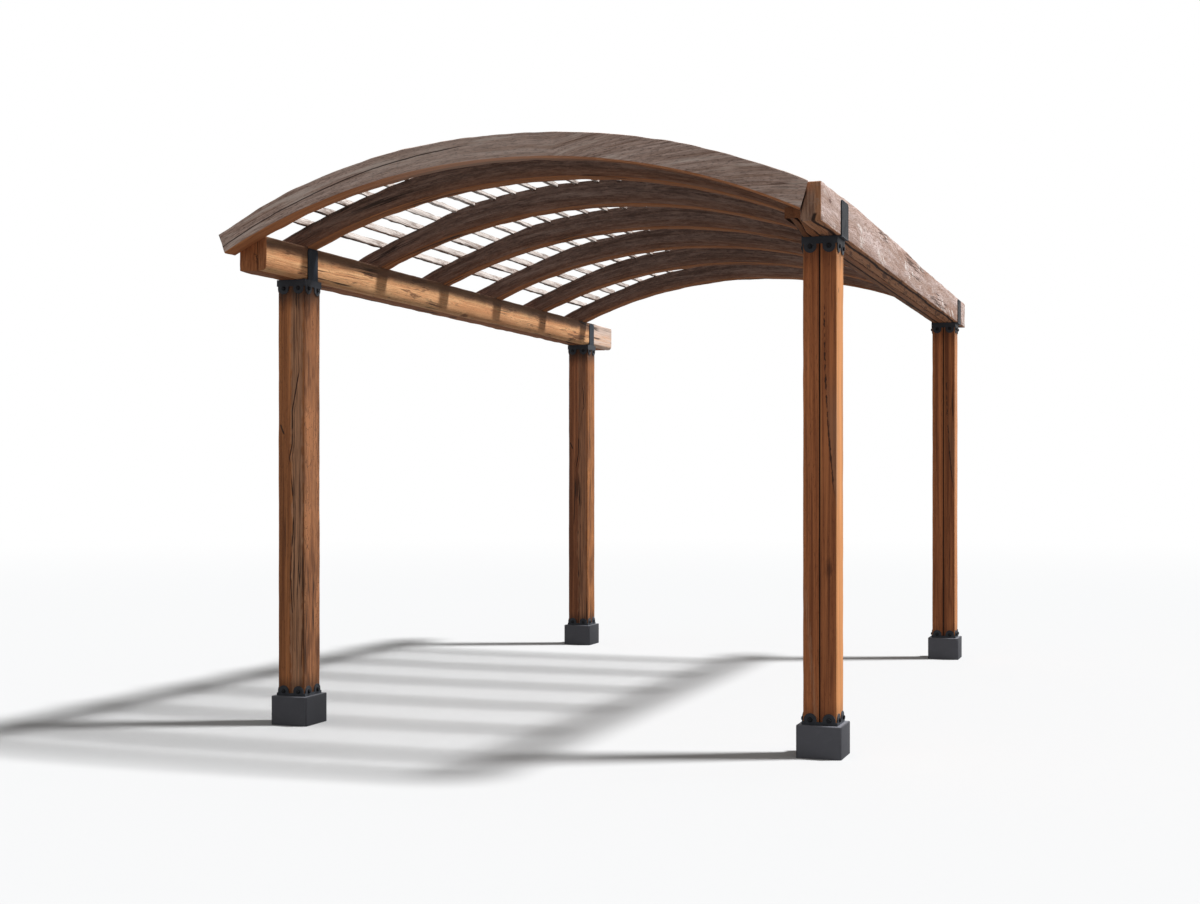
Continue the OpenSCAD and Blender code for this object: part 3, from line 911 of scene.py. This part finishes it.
def bent_timber(name, low_y, high_y, outer_r):
    """Squared section with eased corners, spun about the arches' centre line."""
    let_go()
    bpy.ops.mesh.primitive_plane_add(
        size=1,
        location=on_arc((ARCH_IN + outer_r) / 2, -ARCH_TURN, (low_y + high_y) / 2),
        rotation=(0, -ARCH_TURN - math.pi / 2, 0),
    )
    piece = bpy.context.object
    piece.scale = (outer_r - ARCH_IN, high_y - low_y, 1)
    bpy.ops.object.transform_apply()
    piece.name = piece.data.name = name
    pick_all(piece)
    bpy.ops.mesh.bevel(offset=ARCH_EDGE, segments=2, affect="VERTICES")
    bpy.ops.mesh.delete(type="ONLY_FACE")
    leave()
    pick(piece, "EDGE", lambda a, b: (b - a).length > 6 * ARCH_EDGE)
    bpy.ops.mesh.subdivide(number_cuts=4)
    bpy.ops.mesh.select_all(action="SELECT")
    bpy.ops.mesh.spin(steps=ARCH_STEPS, angle=-2 * ARCH_TURN, center=(AXIS_X, 0, AXIS_Z), axis=(0, 1, 0))
    bpy.ops.mesh.select_all(action="SELECT")
    bpy.ops.mesh.remove_doubles(threshold=TIGHT)
    bpy.ops.mesh.fill_holes(sides=0)
    bpy.ops.mesh.select_all(action="SELECT")
    bpy.ops.mesh.normals_make_consistent(inside=False)
    leave()
    return piece


def end_cut(piece, side, x_end, outer_r, face_y=0.0, mitre=0.0):
    """Leaning end cut through the arch's upper corner, mitred back from its front face."""
    corner = Vector((x_end, face_y, AXIS_Z + math.sqrt(outer_r**2 - (x_end - AXIS_X) ** 2)))
    saw(piece, corner, (side * math.cos(END_LEAN), math.sin(mitre), -math.sin(END_LEAN)))


def beyond(radius):
    """Test for points further than a radius from the arches' centre line."""
    return lambda p: math.hypot(p.x - AXIS_X, p.z - AXIS_Z) > radius


def swell_at(x):
    """How far the arches' top edge is lifted at a place across the roof."""
    share = 1 - min(1.0, max(SWELL_FROM - x, x - SWELL_TO, 0) / SWELL_FADE)
    return ARCH_SWELL * share * share * (3 - 2 * share)


def make_arch(node, material):
    """Arch cut to its seats: the front one goes over the right board's end, the others rest on both beams."""
    low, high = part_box(node)
    front = node == ARCHES[0]
    outer_r = FRONT_OUT if front else ARCH_OUT
    on_top = beyond(outer_r - TOP_EDGE)
    piece = bent_timber(f"timber_{node}", low.y, high.y, outer_r)
    end_cut(piece, -1, LEFT_BEAM[0].x - LEFT_OVERHANG, outer_r)
    behind = high.y + OVERRUN
    if front:
        end_cut(piece, 1, RIGHT_X - RIGHT_SETBACK, outer_r, low.y, END_MITRE)
        notch(piece, (BUTT_X, BOARD_FRONT, NOTCH_LOW), (RIGHT_X + OVERRUN, behind, NOTCH_HIGH))
        raise_top(piece, on_top, 0, *FRONT_SINK)
        raise_top(piece, beyond(outer_r - TOP_EDGE - 0.0065), 0, *TIP_SINK)
    else:
        before = low.y - OVERRUN
        saw(piece, (BUTT_X, 0, 0), (1, 0, 0))
        notch(piece, (LEFT_BEAM[0].x, before, NOTCH_LOW), (LEFT_BEAM[1].x, behind, LEFT_BEAM[1].z))
        notch(piece, (LEDGE[0].x, before, NOTCH_LOW), (BUTT_X + OVERRUN, behind, LEDGE[1].z))
        raise_top(piece, on_top, 0, SWELL_FROM, SWELL_TO, SWELL_FADE, OTHER_SWELL.get(node, ARCH_SWELL))
    mark_arrises(piece)
    waver(piece, amount=0.007 if front else 0.004, size=0.4)
    waver(piece, amount=0.008, size=0.1, group="arris")
    done(piece, material, "arch_timber", node)


# ------------ slats


def make_slat():
    """One rough lath over the crown, narrower below and tapered behind the front arch."""
    first, last = [corner.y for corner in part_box("slat_crown")]
    foot, top = AXIS_Z + SLAT_IN, AXIS_Z + SLAT_OUT
    piece = billet("lath", (AXIS_X - SLAT_W / 2, first, foot), (AXIS_X + SLAT_W / 2, last, top))
    ease(piece, LATH_EDGE, 1, runs_along(1))
    cut_along(piece, 1, 150, least=1.0)
    cut_along(piece, 2, 1)
    pick(piece, "VERT", lambda p: p.z < foot + 1.5 * LATH_EDGE)
    bpy.ops.transform.resize(value=(LATH_FOOT, 1, 1), center_override=(AXIS_X, 0, 0))
    leave()
    saw(piece, (AXIS_X, first, top - TAPER_DROP), (0, -TAPER_DROP, TAPER_RUN))
    return piece


def make_slats(node, turns, lath, material):
    """Laths of one node, turned to their places, set askew and roughened; lower edges follow the arches."""
    laths = []
    centre = Matrix.Translation((AXIS_X, 0, AXIS_Z))
    for turn in turns:
        copy = copy_of(lath)
        askew = Matrix.Rotation(LATH_ASKEW * math.sin(2.4 * turn), 4, "Z")
        copy.data.transform(centre @ Matrix.Rotation(turn * SLAT_STEP, 4, "Y") @ askew @ centre.inverted())
        lift = LATH_LIFT * swell_at(AXIS_X + ARCH_OUT * math.sin(turn * SLAT_STEP))
        shift(copy, lambda p: not beyond(SLAT_IN + 2 * LATH_EDGE)(p), (0, 0, lift))
        pick_all(copy)
        bpy.ops.transform.vertex_random(offset=LATH_ROUGH, seed=int(turn) + LATH_SEED)
        leave()
        waver(copy, amount=0.006, size=0.25)
        waver(copy, amount=0.006, size=0.05)
        laths.append(copy)
    done(joined(laths, f"rough_{node}"), material, "slat_timber", node)


# ------------ bolts


def stub(sides, radius, thickness, near, rim):
    """Short bar along -Y that starts at a distance from the origin, its far rim eased."""
    let_go()
    bpy.ops.mesh.primitive_cylinder_add(
        vertices=sides,
        radius=radius,
        depth=thickness,
        location=(0, -near - thickness / 2, 0),
        rotation=(math.pi / 2, 0, 0),
    )
    bpy.ops.object.transform_apply()
    piece = bpy.context.object
    ease(piece, rim, 1, lambda a, b: max(a.y, b.y) < NEAR - near - thickness)
    return piece


def make_bolt():
    """Washer and hexagon head, standing along -Y from the origin."""
    washer = stub(14, WASHER_R, WASHER_T, 0.0, rim=0.0006)
    head = stub(6, HEAD_R, HEAD_T, WASHER_T, rim=0.0012)
    return joined([head, washer], "bolt")


def make_bolts(name, centre, height, bolt, material):
    """Eight bolts, two on each face of a bracket."""
    copies = []
    for quarter in range(4):
        for side in (-1, 1):
            copy = copy_of(bolt)
            copy.data.transform(
                Matrix.Translation((centre.x, centre.y, height))
                @ Matrix.Rotation(quarter * math.pi / 2, 4, "Z")
                @ Matrix.Translation((side * BOLT_OUT, -BRACKET_HALF, 0))
                @ Matrix.Rotation(0.7 * quarter + 0.5 * side, 4, "Y")
            )
            copies.append(copy)
    done(joined(copies, name), material, "bracket_steel")


# ------------ build

# screen colours of each post: front, sides (paler or darker as painted light and shade) and worn strip
POST_TONES = {
    "front_left": ((194, 124, 76), (180, 122, 82), (210, 156, 120)),
    "front_right": ((210, 128, 78), (230, 160, 99), (204, 154, 122)),
    "rear_left": ((180, 114, 76), (184, 120, 68), (190, 134, 100)),
    "rear_right": ((194, 118, 72), (216, 148, 96), (186, 136, 102)),
}
for index, corner in enumerate(CORNERS):
    old = corner.endswith("left")
    timber = post_timber(
        f"post_timber_{corner}",
        *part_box(f"post_{corner}"),
        *POST_TONES[corner],
        seed=1.7 + 2.3 * index,
        old=old,
        knotty=corner == "front_right",
    )
    make_post(corner, timber, old)
    paint = (100, 101, 107) if old else (112, 113, 120)
    coating = coated_steel(
        f"base_coating_{corner}",
        srgb(*paint),
        srgb(*[c + 16 for c in paint]),
        roughness=0.55,
        grain=700.0,
        centre=middle_of(f"base_{corner}"),
        side=18 if old else 36,
    )
    make_base(corner, coating)
    steel = coated_steel(
        f"bracket_steel_{corner}",
        srgb(66, 69, 75),
        srgb(96, 99, 104),
        roughness=0.5,
        grain=900.0,
        seat=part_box(f"post_{corner}")[1].z + CAP_PLATE,
        strap_shade_tint=(46, 53, 62) if old else (16, 19, 26),
    )
    for bracket in ("foot", "cap"):
        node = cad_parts[f"{bracket}_bracket_{corner}"]
        node.data.materials.clear()
        node.data.materials.append(steel)

make_board(
    "timber_left_outer_beam",
    "left_outer_beam",
    beam_timber("left_outer_timber", middle_of("left_outer_beam"), (184, 118, 76), 3.1, end=(182, 114, 70)),
    "beam_timber",
    radius=0.006,
    segments=2,
    dent=0.008,
)
make_board(
    "timber_left_inner_board",
    "left_inner_beam",
    beam_timber(
        "left_inner_timber",
        middle_of("left_inner_beam"),
        (255, 185, 132),
        5.3,
        crack_share=0.58,
        heart=(-0.06, 0.03),
        half=0.025,
        end=(182, 118, 76),
        stains_and_top_shade=0.85,
    ),
    "beam_timber",
    radius=0.010,
    segments=3,
    dent=0.004,
    belly=0.024,
)
make_board(
    "timber_right_outer_board",
    "right_outer_beam",
    weathered_board("right_outer_timber", *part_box("right_outer_beam"), 2.4),
    "weathered_beam_timber",
    radius=0.004,
    segments=2,
    dent=0.006,
    hump=BOARD_HUMP,
)
# low boards of the right beam: node, word in names, colour, seed, joint, half thickness and sweep
for node, word, colour, seed, joint, half, sweep in (
    ("right_inner_beam", "right_inner", (176, 118, 80), 7.7, 0.004, 0.021, 0.230),
    ("right_ledge_board", "right_ledge", (150, 100, 67), 9.1, 0.008, 0.019, 0.300),
):
    timber = beam_timber(
        f"{word}_timber", middle_of(node), colour, seed, crack_share=0.5, joint=joint, half=half
    )
    make_low_board(f"timber_{word}_board", node, timber, sweep, rise=0.038)

for index, node in enumerate(ARCHES):
    front = index == 0
    # Painted shade: arches 2 to 7 take darker face and underside colours than the front arch, for the shade
    # under the roof.
    timber = arch_timber(
        f"{node}_timber",
        middle_of(node).y,
        FRONT_OUT if front else ARCH_OUT,
        (238, 204, 187) if front else (134, 108, 94) if index == 1 else (150, 124, 111),
        (206, 136, 90) if front else (176, 116, 76),
        seed=0.9 + 1.3 * index,
        front=front,
    )
    make_arch(node, timber)

lath = make_slat()
lath_finish = slat_timber("lath_timber")
for side, way in (("left", -1), ("right", 1)):
    for height, first, last in (("high", 1, 4), ("middle", 5, 8), ("low", 9, SLATS_A_SIDE)):
        make_slats(f"slats_{side}_{height}", [way * n for n in range(first, last + 1)], lath, lath_finish)
make_slats("slat_crown", [0], lath, lath_finish)
bpy.data.objects.remove(lath)

bolt = make_bolt()
bolt_steel = coated_steel(
    "blackened_bolt_steel", srgb(30, 30, 33), srgb(58, 58, 62), roughness=0.4, grain=1200.0
)
for corner in CORNERS:
    centre = middle_of(f"post_{corner}")
    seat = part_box(f"post_{corner}")[1].z + CAP_PLATE
    make_bolts(f"foot_bolts_{corner}", centre, FOOT_BOLT_Z, bolt, bolt_steel)
    make_bolts(f"cap_bolts_{corner}", centre, seat - CAP_BOLT_DROP, bolt, bolt_steel)
bpy.data.objects.remove(bolt)

# ------------ floor, light, camera

FLOOR_RADIUS, WHITE_FROM, WHITE_FULL = 60, 7.0, 24.0
SUN_POWER, SUN_SPREAD, SUN_HEIGHT, SUN_BEARING = 4.8, math.radians(8), math.radians(58.5), math.radians(23.5)
FILM = 36
# the camera as fitted to the photo: its width, focal length and shift in pixels, its place and its turn
PHOTO_WIDTH, FOCAL, SHIFT = 1200, 1544.25, 27.167
EYE, EYE_TURN = (2.7745, -8.7105, 1.222), math.radians(20.182)

let_go()
bpy.ops.mesh.primitive_circle_add(vertices=96, radius=FLOOR_RADIUS, fill_type="NGON")
floor = bpy.context.object
floor.name = "floor"
floor_material, f = new_material("pale_floor")
seen = f.node("LightPath", out="Is Camera Ray")
x, y, z = f.place()
far = (x * x + y * y).root().rise(WHITE_FROM, WHITE_FULL)
lit = f.node("BsdfDiffuse", sockets={"Color": f.mix(seen, (0.2, 0.2, 0.2, 1), (0.612, 0.617, 0.623, 1))})
white = f.node("Emission", sockets={"Color": (1, 1, 1, 1), "Strength": 1.0})
f.node("OutputMaterial", sockets={"Surface": f.node("MixShader", sockets={0: far * seen, 1: lit, 2: white})})
floor.data.materials.append(floor_material)

scene.world = bpy.data.worlds.new("pale_surround")
scene.world.use_nodes = True
f = Finish(scene.world.node_tree)
camera_ray, glossy_ray, clear_ray = f.node(
    "LightPath", out=("Is Camera Ray", "Is Glossy Ray", "Is Transmission Ray")
)
soft = f.node("Background", sockets={"Color": (1.0, 0.985, 0.965, 1), "Strength": 0.25})
white = f.node("Background", sockets={"Color": (1, 1, 1, 1), "Strength": 1.0})
shown = f.node("MixShader", sockets={0: camera_ray.larger(glossy_ray).larger(clear_ray), 1: soft, 2: white})
f.node("OutputWorld", sockets={"Surface": shown})

sun = bpy.data.objects.new("sun", bpy.data.lights.new("sun", "SUN"))
scene.collection.objects.link(sun)
sun.data.energy, sun.data.angle = SUN_POWER, SUN_SPREAD
level = math.cos(SUN_HEIGHT)
towards = Vector((level * math.cos(SUN_BEARING), level * math.sin(SUN_BEARING), math.sin(SUN_HEIGHT)))
sun.rotation_euler = towards.to_track_quat("Z", "Y").to_euler()

camera = bpy.data.objects.new("camera", bpy.data.cameras.new("camera"))
scene.collection.objects.link(camera)
scene.camera = camera
camera.location = EYE
camera.rotation_euler = (math.radians(90), 0, EYE_TURN)
camera.data.sensor_width = FILM
camera.data.lens = FILM * FOCAL / PHOTO_WIDTH
camera.data.shift_y = SHIFT / PHOTO_WIDTH

let_go()
